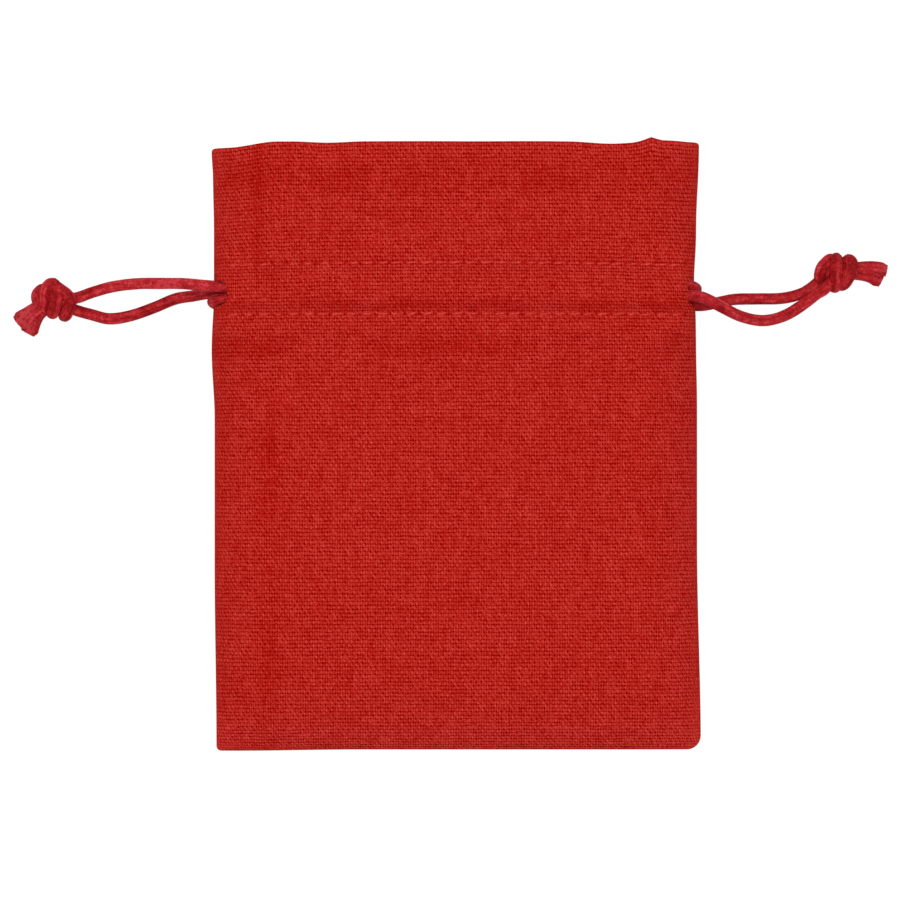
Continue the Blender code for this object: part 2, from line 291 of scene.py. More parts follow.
def smooth_path(points, spacing):
    """Points spacing apart along one smooth curve through points."""
    places = [Vector(point) for point in points]
    dense = []
    for i, (start, stop) in enumerate(zip(places, places[1:])):
        before = places[max(i - 1, 0)]
        after = places[min(i + 2, len(places) - 1)]
        reach = (stop - start).length / 3
        leaving = start + (stop - before).normalized() * reach
        arriving = stop - (after - start).normalized() * reach
        dense += interpolate_bezier(start, leaving, arriving, stop, CURVE_STEPS + 1)[:-1]
    dense.append(places[-1])
    length = sum((b - a).length for a, b in zip(dense, dense[1:]))
    count = max(3, round(length / spacing))
    path = [dense[0]]
    walked = 0.0
    for a, b in zip(dense, dense[1:]):
        stretch = (b - a).length
        while len(path) < count and walked + stretch >= length * len(path) / count:
            path.append(a.lerp(b, (length * len(path) / count - walked) / stretch))
        walked += stretch
    return path + [dense[-1]]


def crosswise(path, level):
    """Two directions across the path at each of its points. The first stays level, or else turns with the
    path as little as it can."""
    heading = (path[1] - path[0]).normalized()
    across = heading.orthogonal().normalized()
    pairs = []
    for i in range(len(path)):
        ahead = (path[min(i + 1, len(path) - 1)] - path[max(i - 1, 0)]).normalized()
        across = (heading.rotation_difference(ahead) @ across).normalized()
        if level:
            across = ahead.cross(Vector((0, 0, 1))).normalized()
        heading = ahead
        pairs.append((across, ahead.cross(across).normalized()))
    return pairs


def lay_tube(bm, path, sides, shape, level=False):
    """Adds a closed tube along path to bm. shape(walk, turn) gives how far the skin is from the path in its
    two crosswise directions, walk being 0 to 1 along the path and turn the angle round it."""
    rings = len(path) - 1
    pairs = crosswise(path, level)
    length = sum((b - a).length for a, b in zip(path, path[1:]))
    lay = bm.loops.layers.uv.get("lay") or bm.loops.layers.uv.new("lay")
    made = bmesh.ops.create_grid(bm, x_segments=sides, y_segments=rings, size=1.0)["verts"]
    for face in {face for vert in made for face in vert.link_faces}:
        for loop in face.loops:
            loop[lay].uv = ((loop.vert.co.x + 1) * math.pi, (loop.vert.co.y + 1) / 2 * length)
    for vert in made:
        turn = (vert.co.x + 1) * math.pi
        step = round((vert.co.y + 1) / 2 * rings)
        first, second = shape(step / rings, turn)
        across, over = pairs[step]
        vert.co = path[step] + across * first + over * second
    bmesh.ops.remove_doubles(bm, verts=made, dist=1e-7)
    edges = [edge for vert in made if vert.is_valid for edge in vert.link_edges]
    open_edges = list({edge for edge in edges if edge.is_boundary})
    bmesh.ops.holes_fill(bm, edges=open_edges, sides=0)


def finished(bm, name, finish):
    """The bmesh as a smooth object with its faces pointing outwards."""
    bmesh.ops.recalc_face_normals(bm, faces=bm.faces)
    mesh = bpy.data.meshes.new(name)
    bm.to_mesh(mesh)
    bm.free()
    mesh.materials.append(finish.material)
    mesh.shade_smooth()
    piece = bpy.data.objects.new(name, mesh)
    scene.collection.objects.link(piece)
    return piece


def cord_shape(seed):
    """A round cord with the small thick and thin places of spun cotton."""

    def shape(walk, turn):
        lump = noise.noise(Vector((walk * 60, seed, 0))) + 0.5 * noise.noise(Vector((walk * 190, seed, 5)))
        radius = CORD_DIAMETER / 2 * (1 + 0.028 * lump)
        return radius * math.cos(turn), radius * math.sin(turn)

    return shape


def drawcord(name, route, seed):
    path = smooth_path(route, CORD_RING_SPACING)
    bm = bmesh.new()
    lay_tube(bm, path, CORD_SIDES, cord_shape(seed))
    piece = finished(bm, name + "_waxed", cord_finish)
    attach(piece, "root")
    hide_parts(name)
    return piece, path


left_cord, left_path = drawcord("left_drawcord", LEFT_ROUTE, 3.1)
right_cord, right_path = drawcord("right_drawcord", RIGHT_ROUTE, 8.4)

# Knots
# Both ends of each cord are tied together in one doubled overhand knot, pulled tight so that its turns press
# into each other. The two tails beyond it are cut short, and have flattened and begun to fray.
KNOT_RING_SPACING = 0.28 * MM
KNOT_SIDES = 28
TAIL_SIDES = 48
TURN_RADIUS = 1.07 * MM
CORE_RADIUS = 1.45 * MM
TAIL_RADIUS = 0.95 * MM
LEFT_BRUSHES = (1.50 * MM, 1.62 * MM)
RIGHT_BRUSHES = (1.28 * MM, 1.32 * MM)

# Places in millimetres from the middle of each knot, each turn starting and ending inside it
LEFT_KNOT = (-66.0, 23.8)
LEFT_TURNS = (
    ((0.6, -0.4, 1.3), (1.0, -1.9, 1.5), (1.25, -2.3, 2.4), (1.8, -1.3, 3.2), (2.2, 0.0, 3.4),
     (1.6, 1.05, 3.3), (0.6, 1.8, 2.9), (-0.4, 2.5, 2.2), (0.0, 1.7, 1.3), (0.9, 0.2, 1.3)),
    ((-0.6, -0.3, 1.2), (-0.8, -1.5, 1.5), (-0.8, -1.9, 2.5), (-0.4, -1.0, 3.4), (-0.05, 0.5, 3.6),
     (-0.2, 1.8, 3.4), (-0.7, 2.9, 2.7), (-1.0, 2.5, 1.6), (-0.6, 1.0, 1.3)),
    ((-0.2, 2.0, 1.6), (-0.8, 3.0, 2.4), (-1.5, 2.5, 3.0), (-1.9, 1.3, 3.1), (-1.9, 0.1, 2.8),
     (-2.1, -1.0, 2.2), (-1.5, -1.1, 1.5)),
    ((-1.2, 1.4, 1.5), (-2.1, 2.0, 1.8), (-3.1, 1.5, 2.2), (-3.3, 0.5, 2.2), (-2.8, -0.4, 1.9),
     (-1.8, -0.8, 1.6)),
)
LEFT_CORE = ((-2.3, 0.3, 2.1), (-0.8, 0.4, 2.2), (0.8, 0.2, 2.2), (2.2, -0.1, 2.1))
LEFT_TAILS = (
    ((-1.4, 0.0, 2.0), (-3.5, -0.9, 1.8), (-5.1, -2.15, 1.4), (-6.75, -3.4, 1.1)),
    ((-1.2, -0.8, 1.9), (-2.8, -1.9, 1.7), (-4.0, -3.3, 1.3), (-5.05, -5.2, 1.1)),
)
RIGHT_KNOT = (63.1, 28.7)
RIGHT_TURNS = (
    ((-0.3, 1.2, 1.4), (-0.8, 2.0, 1.9), (-1.6, 1.8, 2.6), (-2.5, 0.7, 2.7), (-2.85, -0.5, 2.3),
     (-2.6, -1.0, 1.7), (-1.5, -0.7, 1.5)),
    ((-0.4, -0.3, 1.2), (-0.5, -2.0, 1.5), (-0.5, -2.5, 2.3), (-0.4, -1.6, 3.3), (-0.3, -0.2, 3.6),
     (-0.25, 1.1, 3.5), (-0.25, 2.0, 2.9), (-0.1, 2.1, 1.8), (0.0, 1.0, 1.3)),
    ((0.5, -0.6, 1.3), (0.5, -1.9, 1.6), (0.9, -2.0, 2.5), (1.7, -1.0, 3.1), (2.3, 0.3, 3.2), (2.4, 1.4, 2.9),
     (1.8, 2.0, 2.3), (1.1, 1.5, 1.5)),
)
RIGHT_CORE = ((-2.0, 0.3, 2.0), (-0.6, 0.1, 2.1), (0.8, 0.1, 2.2), (2.3, 0.2, 2.1))
RIGHT_TAILS = (
    ((1.2, 0.5, 2.0), (3.2, 0.75, 1.8), (5.6, 0.75, 1.4), (8.2, 0.25, 1.1)),
    ((1.2, -0.3, 1.9), (3.2, -0.35, 1.7), (5.5, -0.60, 1.3), (7.35, -1.5, 1.1)),
)


def share(low, high, value):
    """How far value has gone from low to high, eased at both ends."""
    part = min(max((value - low) / (high - low), 0.0), 1.0)
    return part * part * (3 - 2 * part)


def turn_shape(seed, around):
    """A turn of cord in a tight knot: pressed out of round, creased along its length and thin at its ends,
    which are hidden in the knot."""

    def shape(walk, turn):
        lump = noise.noise(Vector((walk * 7, seed, 1.5 * math.cos(turn))))
        crease = noise.noise(Vector((walk * 3, 2.6 * math.cos(turn) + seed, 2.6 * math.sin(turn))))
        radius = around * (1 + 0.07 * lump + 0.09 * crease) * (0.82 + 0.18 * math.sin(math.pi * walk) ** 0.5)
        return radius * math.cos(turn), radius * math.sin(turn)

    return shape


def tail_shape(seed, brush):
    """A cut tail that opens into a flat, creased brush. brush is half its width."""

    def shape(walk, turn):
        opened = share(0.25, 1.0, walk)
        crease = opened * noise.noise(Vector((walk * 2, seed, 3.4 * math.cos(turn) + seed)))
        wide = (TAIL_RADIUS * (1 - opened) + brush * opened) * (1 - 0.24 * share(0.86, 1.0, walk))
        thick = TAIL_RADIUS * (1 - 0.28 * opened)
        return wide * math.cos(turn), thick * math.sin(turn) * (1 + 0.55 * crease)

    return shape


def knot(name, middle, turns, core, tails, brushes, seed):
    at = Vector((*middle, 0.0))

    def path(points):
        return smooth_path([(at + Vector(point)) * MM for point in points], KNOT_RING_SPACING)

    bm = bmesh.new()
    for number, points in enumerate(turns):
        lay_tube(bm, path(points), KNOT_SIDES, turn_shape(seed + number, TURN_RADIUS))
    lay_tube(bm, path(core), KNOT_SIDES, turn_shape(seed + 9, CORE_RADIUS))
    for number, (points, brush) in enumerate(zip(tails, brushes)):
        lay_tube(bm, path(points), TAIL_SIDES, tail_shape(seed + 20 + number, brush), level=True)
    piece = finished(bm, name + "_tied", cord_finish)
    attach(piece, "root")
    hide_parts(name)
    return piece


left_knot = knot("left_knot", LEFT_KNOT, LEFT_TURNS, LEFT_CORE, LEFT_TAILS, LEFT_BRUSHES, 1.7)
right_knot = knot("right_knot", RIGHT_KNOT, RIGHT_TURNS, RIGHT_CORE, RIGHT_TAILS, RIGHT_BRUSHES, 6.2)

for cord, path, tied in ((left_cord, left_path, left_knot), (right_cord, right_path, right_knot)):
    length = sum((b - a).length for a, b in zip(path, path[1:]))

# Cloth
# One strip of slubby plain-weave linen, folded at the bottom and sewn up both sides, its allowances inside.
# Its top is turned down inside to a hem just below the casing, and the casing is left open at both seams.
POUCH_WIDTH = 80.0 * MM
POUCH_HEIGHT = 100.6 * MM
CLOTH_THICKNESS = 0.4 * MM
MOUTH_TO_UPPER_ROW = 20.2 * MM
ROW_SPACING = 8.4 * MM
HEM_BELOW_LOWER_ROW = 3.3 * MM
SEAM_ALLOWANCE = 9.2 * MM
PLY_GAP = 0.25 * MM
ROW_GAP = 0.15 * MM
CASING_GAP = 2.5 * MM
MOUTH_RISE = 9.0 * MM
ROW_RISE = 10.25 * MM
CASING_RISE = 11.2 * MM
BODY_RISE = 9.2 * MM
FOOT_RISE = 8.4 * MM
FRONT_CROWN = 0.6 * MM
SEAM_RISE = 2.1 * MM
SLIT_RISE = 5.3 * MM
FRONT_ROUNDING = 12.0 * MM
BACK_ROUNDING = 2.6 * MM
CASING_ROUNDING = 3.8 * MM
BOTTOM_ROUNDING = 15.0 * MM
RIGHT_CORNER_RADIUS = 2.3 * MM
LEFT_CORNER_RADIUS = RIGHT_CORNER_RADIUS / 3
OPENING_REACH = 14.0 * MM
HALF_WIDTH = POUCH_WIDTH / 2
MOUTH = POUCH_HEIGHT / 2
BOTTOM = -POUCH_HEIGHT / 2
UPPER_ROW = MOUTH - MOUTH_TO_UPPER_ROW
LOWER_ROW = UPPER_ROW - ROW_SPACING
CASING_MIDDLE = (UPPER_ROW + LOWER_ROW) / 2
HEM_EDGE = LOWER_ROW - HEM_BELOW_LOWER_ROW
STITCH_PITCH = 2.43 * MM

# Faces round each side edge and over the flat of the front and of the back
FRONT_ARCS = 18
FRONT_FLATS = 118
BACK_ARCS = 8
BACK_FLATS = 66

# Where the edge of the mouth stands up or sags: middle, reach to each side, height
MOUTH_WAVES = (
    (31.9 * MM, 2.7 * MM, 0.50 * MM),
    (32.3 * MM, 1.1 * MM, 0.22 * MM),
    (35.0 * MM, 4.0 * MM, 0.20 * MM),
    (25.5 * MM, 7.0 * MM, -0.32 * MM),
    (-20.9 * MM, 6.0 * MM, -0.22 * MM),
)


def arch(distance, reach, power=2.0):
    """A rounded arch: 1 at distance 0, falling to 0 at reach."""
    part = min(max(distance / reach, -1.0), 1.0)
    return math.sqrt(max(0.0, 1 - abs(part) ** power))


def hill(value, middle, reach):
    """A smooth hill: 1 at middle, 0 at reach from it and beyond."""
    return 1 - share(0.0, reach, abs(value - middle))


def casing_bulge(y):
    """1 along the middle of the casing, falling smoothly to 0 at its rows."""
    return share(0.0, 0.58, 1 - abs(y - CASING_MIDDLE) / (ROW_SPACING / 2))


def opened(y):
    """1 at the casing, where the slits hold the side seam apart, falling to 0 away from it."""
    below = share(CASING_MIDDLE - OPENING_REACH, CASING_MIDDLE - ROW_SPACING / 2, y)
    return below * (1 - share(CASING_MIDDLE + ROW_SPACING / 2, CASING_MIDDLE + OPENING_REACH, y))


def front_rise(y):
    """Height of the outer skin along the middle of the front."""
    body = FOOT_RISE + (BODY_RISE - FOOT_RISE) * share(BOTTOM, 0.3 * BOTTOM, y)
    to_casing = body + (ROW_RISE - body) * share(HEM_EDGE - 0.012, LOWER_ROW, y)
    to_mouth = to_casing + (MOUTH_RISE - to_casing) * share(UPPER_ROW, UPPER_ROW + 0.011, y)
    return to_mouth + (CASING_RISE - ROW_RISE) * casing_bulge(y)


def slack(x, y):
    """Soft folds and puckers of the front, from the seams, the stitch rows and handling."""
    inside_seam = HALF_WIDTH - abs(x)
    ridge = 0.42 * MM * (1 - share(SEAM_ALLOWANCE - 0.0012, SEAM_ALLOWANCE + 0.0022, inside_seam))
    ridge *= 1 - 0.7 * share(HEM_EDGE, LOWER_ROW, y)
    body = share(BOTTOM, BOTTOM + 0.030, y) * (1 - share(HEM_EDGE - 0.006, LOWER_ROW, y))
    folds = 0.10 * MM * math.sin(x / 0.0105 + 0.9 * math.sin(y / 0.021))
    broad = 0.27 * MM * noise.noise(Vector((x * 55, y * 42, 2.0)))
    fine = 0.10 * MM * noise.noise(Vector((x * 210, y * 170, 7.0)))
    gather = noise.noise(Vector((x * 190, 1.0, y * 40)))
    below_hem = 0.34 * MM * gather * hill(y, HEM_EDGE - 0.0015, 0.0075)
    above_row = 0.26 * MM * gather * hill(y, UPPER_ROW + 0.003, 0.009)
    header = -0.42 * MM + 0.34 * MM * noise.noise(Vector((x * 75, 3.0, 0.0)))
    header *= hill(y, MOUTH - 0.0095, 0.0075)
    hem = 0.26 * MM * share(HEM_EDGE - 0.0011, HEM_EDGE + 0.0005, y)
    hem *= 1 - share(LOWER_ROW - 0.002, LOWER_ROW, y)
    pull = 0.6 + 0.4 * math.cos(2 * math.pi * x / STITCH_PITCH)
    rows = -0.16 * MM * pull * (hill(y, UPPER_ROW, 0.0014) + hill(y, LOWER_ROW, 0.0014))
    return ridge + body * folds + broad + fine + below_hem + above_row + header + hem + rows


def left_drift(y):
    """How far the left edge has moved across at y: outwards above and below its slit, inwards at the foot."""
    mouth = -0.30 * MM * share(0.030, 0.048, y) - 0.20 * MM * share(0.0455, 0.0500, y)
    below_slit = -0.46 * MM * hill(y, 0.0150, 0.0105)
    foot = 0.30 * MM * share(-0.02, -0.05, y)
    return mouth + below_slit + foot


def right_drift(y):
    """How far the right edge has moved across at y: inwards at its slit, outwards at mouth and foot."""
    mouth = 0.32 * MM * share(0.038, 0.050, y)
    at_slit = -0.40 * MM * hill(y, 0.026, 0.020) - 0.22 * MM * hill(y, 0.0280, 0.0070)
    foot = 0.62 * MM * share(-0.016, -0.050, y)
    return mouth + at_slit + foot - 0.12 * MM


def settle(x, y):
    """How far the lying cloth has drifted in its own plane from a true rectangle."""
    drift = left_drift(y) if x < 0 else right_drift(y)
    across = drift * share(0.3 * HALF_WIDTH, HALF_WIDTH, abs(x))
    corner = -0.95 * MM * share(-0.0290, -0.0375, x) * share(UPPER_ROW, MOUTH, y)
    bow = -0.55 * MM * (x / HALF_WIDTH) ** 2 * hill(y, UPPER_ROW, 0.016)
    edge = (0.16 * noise.noise(Vector((x * 60, 4.0, 0.0))) - 0.22) * MM * share(UPPER_ROW, MOUTH, y)
    sag = -0.22 * MM * share(-0.0150, -0.0385, x) * (1 - share(BOTTOM, BOTTOM + 0.015, y))
    waves = sum(height * hill(x, middle, reach) for middle, reach, height in MOUTH_WAVES)
    return across, corner + bow + edge + sag + waves * share(MOUTH - 0.0050, MOUTH, y)


def closing(y, rounding, depth):
    """How far apart front and back are held: 1 above the rounding at the bottom, all but 0 at the fold."""
    return arch(max(BOTTOM + rounding - y, 0.0), 1.005 * (rounding - depth))


def wall_point(x, y, depth, is_front):
    """The place of the cloth at x and y, depth inside the outer skin of the front or the back."""
    corner = RIGHT_CORNER_RADIUS if x > 0 else LEFT_CORNER_RADIUS
    half = HALF_WIDTH - corner * (1 - closing(y, corner, 0.0))
    seam = SEAM_RISE + (SLIT_RISE - SEAM_RISE) * opened(y)
    away = FRONT_ROUNDING if is_front else BACK_ROUNDING
    rounding = away + (CASING_ROUNDING - away) * opened(y)
    flat = half - rounding
    out = max(abs(x) * half / HALF_WIDTH - flat, 0.0) / rounding
    fall = math.sqrt(max(0.0, 1 - out * out))
    wide = abs(x) if out == 0.0 else flat + (rounding - depth) * out
    wide = math.copysign(min(wide, half), x)
    if is_front:
        crest = front_rise(y) - depth - seam - FRONT_CROWN * (x / half) ** 2 + slack(x, y)
        z = seam + crest * fall * closing(y, BOTTOM_ROUNDING, depth)
    else:
        dent = 0.16 * MM * (hill(y, UPPER_ROW, 0.0012) + hill(y, LOWER_ROW, 0.0012))
        z = seam - (seam - depth - dent) * fall * closing(y, BACK_ROUNDING, depth)
    across, along = settle(x, y)
    return Vector((wide + across, y + along, z))


def spread(start, stop, steps):
    """Even places from start up to, but without, stop."""
    return [start + (stop - start) * step / steps for step in range(steps)]


def round_columns():
    """(x, is_front) places from the left seam over the front to the right seam, and back over the back."""
    front = (True, 1, FRONT_ROUNDING, FRONT_ARCS, FRONT_FLATS)
    back = (False, -1, BACK_ROUNDING, BACK_ARCS, BACK_FLATS)
    columns = []
    for is_front, way, rounding, arcs, flats in (front, back):
        turns = [math.pi / 2 * step / arcs for step in range(arcs)]
        rim = [HALF_WIDTH - rounding * (1 - math.cos(turn)) for turn in turns]
        columns += [(-way * x, is_front) for x in rim]
        columns += [(way * x, is_front) for x in spread(rounding - HALF_WIDTH, HALF_WIDTH - rounding, flats)]
        columns += [(way * x, is_front) for x in [HALF_WIDTH - rounding, *reversed(rim[1:])]]
    return columns


def ply_gap(y, reach=ROW_SPACING / 2):
    """The gap between wall and facing: wide in the casing, almost none at its rows, small elsewhere."""
    away = share(ROW_SPACING / 2, ROW_SPACING / 2 + 0.002, abs(y - CASING_MIDDLE))
    return ROW_GAP + (CASING_GAP - ROW_GAP) * arch(y - CASING_MIDDLE, reach, 5.0) + (PLY_GAP - ROW_GAP) * away


def cloth_rows():
    """(y, depth) places along the cut strip: up the outer skin, over the fold at the mouth, down the facing
    to its hem, up its hidden side and down the inside of the wall."""
    fold = CLOTH_THICKNESS + PLY_GAP / 2
    turn = MOUTH - fold
    bottom = [BOTTOM + BOTTOM_ROUNDING * (1 - math.cos(math.pi / 2 * step / 20)) for step in range(20)]
    outer = bottom + spread(BOTTOM + BOTTOM_ROUNDING, HEM_EDGE - 0.004, 70)
    outer += spread(HEM_EDGE - 0.004, UPPER_ROW + 0.002, 58) + spread(UPPER_ROW + 0.002, turn, 44) + [turn]
    rows = [(y, 0.0) for y in outer]
    for step in range(1, 6):
        swing = math.pi * step / 6
        rows.append((turn + fold * math.sin(swing), fold * (1 - math.cos(swing))))
    facing = spread(HEM_EDGE, LOWER_ROW, 4) + spread(LOWER_ROW, UPPER_ROW, 16)
    facing += spread(UPPER_ROW, turn, 16) + [turn]
    beyond_row = (ROW_SPACING + CLOTH_THICKNESS) / 2
    rows += [(y, 2 * CLOTH_THICKNESS + ply_gap(y, beyond_row)) for y in reversed(facing)]
    rows += [(y, CLOTH_THICKNESS + ply_gap(y)) for y in facing]
    rows.append((turn + PLY_GAP / 2, fold))
    reach = BOTTOM_ROUNDING - CLOTH_THICKNESS
    inner = [BOTTOM + CLOTH_THICKNESS + reach * (1 - math.cos(math.pi / 2 * step / 10)) for step in range(10)]
    inner += spread(BOTTOM + BOTTOM_ROUNDING, HEM_EDGE, 26) + facing
    return rows + [(y, CLOTH_THICKNESS) for y in reversed(inner)]


def walked(points):
    """How far along the line each point lies."""
    far = [0.0]
    for a, b in zip(points, points[1:]):
        far.append(far[-1] + (b - a).length)
    return far


columns = round_columns()
rows = cloth_rows()
across_far = walked([wall_point(x, 0.0, 0.0, is_front) for x, is_front in columns + columns[:1]])
along_far = walked([wall_point(0.0, y, depth, True) for y, depth in rows])
bm = bmesh.new()
strip = bmesh.ops.create_grid(bm, x_segments=len(columns), y_segments=len(rows) - 1, size=1.0)["verts"]
uv = bm.loops.layers.uv.new("threads")
placed = {}
for vert in strip:
    column = round((vert.co.x + 1) / 2 * len(columns))
    row = round((vert.co.y + 1) / 2 * (len(rows) - 1))
    placed[vert] = (column, row)
for face in bm.faces:
    for loop in face.loops:
        column, row = placed[loop.vert]
        loop[uv].uv = (across_far[column], along_far[row])
for vert, (column, row) in placed.items():
    x, is_front = columns[column % len(columns)]
    y, depth = rows[row]
    vert.co = wall_point(x, y, depth, is_front)
bmesh.ops.remove_doubles(bm, verts=[vert for vert in strip if vert.is_boundary], dist=1e-7)
bmesh.ops.holes_fill(bm, edges=[edge for edge in bm.edges if edge.is_boundary], sides=0)
bmesh.ops.triangulate(bm, faces=[face for face in bm.faces if len(face.verts) > 4])

ENDS_ACROSS = 0.4155 * MM
PICKS_ALONG = 0.632 * MM
LINEN_DEEP = (0.255, 0.0004, 0.0002)
LINEN_THREAD = (0.425, 0.0085, 0.0047)
LINEN_LIT = (0.735, 0.0750, 0.0590)

linen = Finish("red_slub_linen")
ground = linen.add("ShaderNodeUVMap", {"uv_map": "threads"}, {})
u, v = linen.axes(ground)
end = u / ENDS_ACROSS + (linen.noise(linen.point(u * 0.4, v), 330, 2.0) - 0.5) * 0.45
pick = v / PICKS_ALONG + (linen.noise(linen.point(u, v * 0.4, 0.5), 330, 2.0) - 0.5) * 0.45
end_number = end.whole()
pick_number = pick.whole()
in_end = end - end_number - 0.5
in_pick = pick - pick_number - 0.5
end_round = 1 - in_end * in_end * 4
pick_round = 1 - in_pick * in_pick * 4
end_over = (end_number + pick_number).odd()
floats = end_over * end_round * (0.2 + pick_round * 0.8)
floats = floats + (1 - end_over) * pick_round * (0.36 + end_round * 0.54)
slub = linen.noise(linen.point(u * 300, pick_number * 7.31), 1.0, 1.0).between(0.60, 0.74)
slub_end = linen.noise(linen.point(end_number * 5.17, v * 260), 1.0, 1.0).between(0.64, 0.78)

# Daylight does not reach into the corners between the threads
corner_u = (end + 0.5).whole()
corner_v = (pick + 0.5).whole()
spot = linen.point(corner_u, corner_v)
uneven = linen.add("ShaderNodeTexWhiteNoise", {"noise_dimensions": "2D"}, {"Vector": spot})
from_u = end - corner_u
from_v = (pick - corner_v) * 1.35
away = (from_u * from_u + from_v * from_v).root()
widest = 0.15 + uneven * 0.33 + (corner_u + corner_v).odd() * 0.06
pinhole = 1 - (away / widest).between(0.3, 1.0)
groove = 1 - pick_round.between(0.0, 0.7)
slot = 1 - end_round.between(0.0, 0.7)

# The weave closes along the side seams and at slubs. Beside the left seam, in the casing, at the hem and
# below the mouth it lies in a little shade, and at the foot and the right edge it catches more light
place = linen.object_place()
x, y = linen.axes(place)
patchy = linen.noise(place, 95, 2.0).between(0.36, 0.62)
pressed = abs(x).between(38.2 * MM, 39.4 * MM)
closed = 1 - (1 - pressed * 0.8) * (1 - slub * 0.8) * (1 - slub_end * 0.6)
by_seam = x.near(-30.9 * MM, 2.9 * MM) * (1 - y.between(2 * MM, 12 * MM)) * (0.03 + patchy * 0.07)
by_header_seam = x.near(-32.6 * MM, 1.6 * MM) * y.between(27 * MM, 33 * MM) * 0.10
by_casing = y.near(23.3 * MM, 1.9 * MM) * (0.01 + patchy * 0.10)
by_hem = y.near(16.3 * MM, 3.0 * MM) * patchy * patchy * 0.09
by_mouth = y.near(44.2 * MM, 4.6 * MM) * (0.02 + patchy * 0.06)
shaded = by_seam + by_header_seam + by_casing + by_hem + by_mouth
shaded = shaded - y.near(-50.0 * MM, 7.5 * MM) * 0.055 - x.between(34.0 * MM, 38.0 * MM) * 0.03

# The needle has left a small hole between each two stitches, and painted shade darkens each hole
stitch = x / STITCH_PITCH
from_hole = abs(stitch - stitch.whole() - 0.5)
on_rows = y.near(UPPER_ROW, 0.5 * MM) + y.near(LOWER_ROW, 0.5 * MM)
needle_hole = (1 - from_hole.between(0.05, 0.14)) * on_rows

end_tone = linen.noise(linen.point(end_number * 3.7, v * 180), 1.0, 0.0) - 0.5
pick_tone = linen.noise(linen.point(u * 300, pick_number * 3.7, 9.0), 1.0, 0.0) - 0.5
crossing = linen.point(end_number, pick_number)
crossing_tone = linen.add("ShaderNodeTexWhiteNoise", {}, {"Vector": crossing}) - 0.5
fibres = linen.noise(ground, 4600, 0.0) - 0.5
# The crowns of the floats are painted lighter than their sides, as painted light and shade. A diagonal wave
# that follows the twist of the yarn also paints light on one flank of each float
twist_and_flank_light = ((end + pick) * math.pi).cosine()
tone = 0.515 + floats * 0.15 + twist_and_flank_light * 0.070 + crossing_tone * 0.12 + fibres * 0.76
tone = tone + end_tone * 0.17 + pick_tone * 0.14 + slub * 0.03 - shaded
tone = tone - needle_hole * (0.08 + patchy * 0.22)
tone = tone - (pinhole * 1.28 + groove * 0.04 + slot * 0.02) * (1 - closed)
shade = linen.blend(tone.between(-0.25, 0.56), LINEN_DEEP, LINEN_THREAD)
shade = linen.blend(tone.between(0.40, 1.10), shade, LINEN_LIT)
linen.feed(linen.shader.inputs["Base Color"], shade)
linen.feed(linen.shader.inputs["Roughness"], 0.84 + uneven * 0.10)
linen.feed(linen.shader.inputs["Normal"], linen.bump(floats + slub * 0.3 - pinhole, 0.10 * MM, 0.3))
linen.shader.inputs["Specular IOR Level"].default_value = 0.0

cloth = finished(bm, "pouch_cloth_linen", linen)

# How far the left and the right slit stand back from their edge
SLIT_SETBACKS = {-1: 2.35 * MM, 1: 1.80 * MM}
SLIT_MIDDLE = 25.05 * MM
SLIT_REACH = 2.05 * MM
SLIT_FLOOR = 0.5 * MM
SLIT_TOP = 20.0 * MM
SLIT_ROUNDNESS = 0.6


def slit_block(side):
    """A rounded block that opens one side seam between the rows, down to the edge of the back layer."""
    bm = bmesh.new()
    bmesh.ops.create_circle(bm, cap_ends=True, segments=40, radius=1.0)
    for vert in bm.verts:
        round_x = math.copysign(abs(vert.co.x) ** SLIT_ROUNDNESS, vert.co.x)
        round_y = math.copysign(abs(vert.co.y) ** SLIT_ROUNDNESS, vert.co.y)
        from_seam = SLIT_SETBACKS[side] * round_x
        vert.co = (side * HALF_WIDTH + from_seam, SLIT_MIDDLE + SLIT_REACH * round_y, SLIT_FLOOR)
    made = bmesh.ops.extrude_face_region(bm, geom=bm.faces[:])["geom"]
    top = [part for part in made if isinstance(part, bmesh.types.BMVert)]
    bmesh.ops.translate(bm, vec=(0, 0, SLIT_TOP), verts=top)
    return finished(bm, "slit_block", linen)


slit_blocks = [slit_block(side) for side in (-1, 1)]
for block in slit_blocks:
    cut = cloth.modifiers.new("slit", "BOOLEAN")
    cut.operation = "DIFFERENCE"
    cut.solver = "EXACT"
    cut.object = block
slit_mesh = bpy.data.meshes.new_from_object(cloth.evaluated_get(bpy.context.evaluated_depsgraph_get()))
cloth.modifiers.clear()
cloth.data = slit_mesh
for block in slit_blocks:
    bpy.data.objects.remove(block)
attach(cloth, "root")
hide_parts("pouch_cloth")

# Stitches
# Two rows of running stitches in red cotton thread go through wall and facing across the front and the back,
# one above and one below the casing. Each stitch lies in a small dent that its own pull makes in the cloth.
STITCH_LENGTH = 1.95 * MM
THREAD_RADIUS = 0.19 * MM

# Between these places across each row the stitches stand clear of the cloth
STITCHES_SHOW = {UPPER_ROW: (-13.0 * MM, 38.0 * MM), LOWER_ROW: (-24.0 * MM, 27.0 * MM)}
# The thread is lighter than the cloth: partly its own colour and partly painted light on the raised stitches
THREAD_DEEP = (0.520, 0.024, 0.018)
THREAD_LIT = (0.730, 0.070, 0.056)

thread = Finish("red_sewing_thread")
fibre = thread.noise(thread.object_place(), 2600, 2.0)
thread_colour = thread.blend(fibre.between(0.35, 0.68), THREAD_DEEP, THREAD_LIT)
thread.feed(thread.shader.inputs["Base Color"], thread_colour)
thread.feed(thread.shader.inputs["Roughness"], 0.66 + fibre * 0.14)
thread.feed(thread.shader.inputs["Normal"], thread.bump(fibre, 0.05 * MM, 0.6))
thread.shader.inputs["Specular IOR Level"].default_value = 0.05

